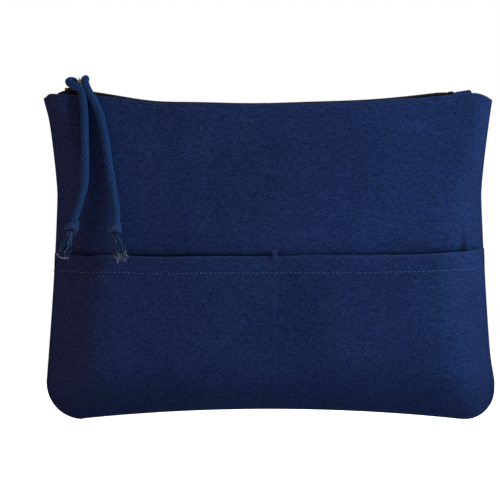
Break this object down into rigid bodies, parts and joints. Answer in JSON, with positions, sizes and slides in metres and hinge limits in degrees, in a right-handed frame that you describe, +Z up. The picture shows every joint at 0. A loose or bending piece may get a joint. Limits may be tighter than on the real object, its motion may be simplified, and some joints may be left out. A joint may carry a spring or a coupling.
{
  "type": "travel document organizer",
  "caption": "Flat zipped canvas pouch for travel papers, with open front pockets and a knotted cord as the zip pull.",
  "frame": {"origin": "centre of the flat area of the back", "axes": "+X along the zip towards its open end (the viewer's right), +Y out of the back, +Z up to the zip"},
  "size_m": [0.2676, 0.0432, 0.2054],
  "materials": {
    "canvas": "navy plain-weave cotton canvas, matt",
    "zip_tape": "black woven zip tape",
    "zip_coil": "black nylon, satin",
    "thread": "blue polyester thread, a little lighter than the canvas",
    "metal": "nickel-plated, satin, warm tone",
    "cord": "braided cotton, matt, frayed at the ends"
  },
  "bodies": {
    "pouch": {"front_panel_lower": "canvas", "back_panel": "canvas", "pocket_divider_stitching": "thread", "pocket_divider_bartack": "thread", "back_zip_tape": "zip_tape", "back_zip_coil": "zip_coil", "back_zip_stitching": "thread", "front_zip_top_stop": "metal", "back_zip_top_stop": "metal", "zip_bottom_stop": "metal", "left_zip_end_tab": "canvas", "right_zip_end_tab": "canvas"},
    "mouth": {"front_panel_upper": "canvas", "front_zip_tape": "zip_tape", "front_zip_coil": "zip_coil", "front_zip_stitching": "thread"},
    "left_pocket": {"left_pocket_panel": "canvas", "left_pocket_hem_stitching": "thread"},
    "right_pocket": {"right_pocket_panel": "canvas", "right_pocket_hem_stitching": "thread"},
    "slider": {"zip_slider_body": "metal", "zip_slider_bail": "metal"},
    "pull": {"pull_link": "metal"},
    "cord_loop": {"pull_cord_loop": "cord"},
    "left_tail": {"left_cord_tail": "cord", "left_cord_knot": "cord", "left_cord_frayed_end": "cord"},
    "right_tail": {"right_cord_tail": "cord", "right_cord_knot": "cord", "right_cord_frayed_end": "cord"}
  },
  "joints": [
    {"name": "zip_slide", "type": "hinge", "parent": "pouch", "child": "slider", "pos_m": [0, -0.01, 0.8654], "axis": [0, -1, 0], "range_deg": [0, 15.85], "deforming": ["back_zip_coil"]},
    {"name": "mouth_gape", "type": "hinge", "parent": "pouch", "child": "mouth", "pos_m": [0, -0.028, -0.0007], "axis": [1, 0, 0], "range_deg": [0, 12], "deforming": ["front_panel_upper", "front_zip_tape", "front_zip_coil", "front_zip_stitching"]},
    {"name": "left_pocket_gape", "type": "hinge", "parent": "pouch", "child": "left_pocket", "pos_m": [-0.065, -0.0125, -0.095], "axis": [1, 0, 0], "range_deg": [0, 7]},
    {"name": "right_pocket_gape", "type": "hinge", "parent": "pouch", "child": "right_pocket", "pos_m": [0.068, -0.0125, -0.095], "axis": [1, 0, 0], "range_deg": [0, 7]},
    {"name": "pull_lift", "type": "hinge", "parent": "slider", "child": "pull", "pos_m": [-0.11367, -0.01, 0.10242], "axis": [-0.9891, 0, 0.1474], "range_deg": [0, 70]},
    {"name": "cord_plumb", "type": "hinge", "parent": "pull", "child": "cord_loop", "pos_m": [-0.11358, -0.01364, 0.10306], "axis": [0, -1, 0], "range_deg": [-15.9, 0]},
    {"name": "left_tail_swing", "type": "hinge", "parent": "cord_loop", "child": "left_tail", "pos_m": [-0.1116, -0.02205, 0.0949], "axis": [0, -1, 0], "range_deg": [-10, 5]},
    {"name": "right_tail_swing", "type": "hinge", "parent": "cord_loop", "child": "right_tail", "pos_m": [-0.1064, -0.02195, 0.0949], "axis": [0, -1, 0], "range_deg": [-5, 12]}
  ],
  "couplings": [
    {"joint": "mouth_gape", "follows": "zip_slide", "ratio": 0.757},
    {"joint": "cord_plumb", "follows": "zip_slide", "ratio": -1}
  ]
}
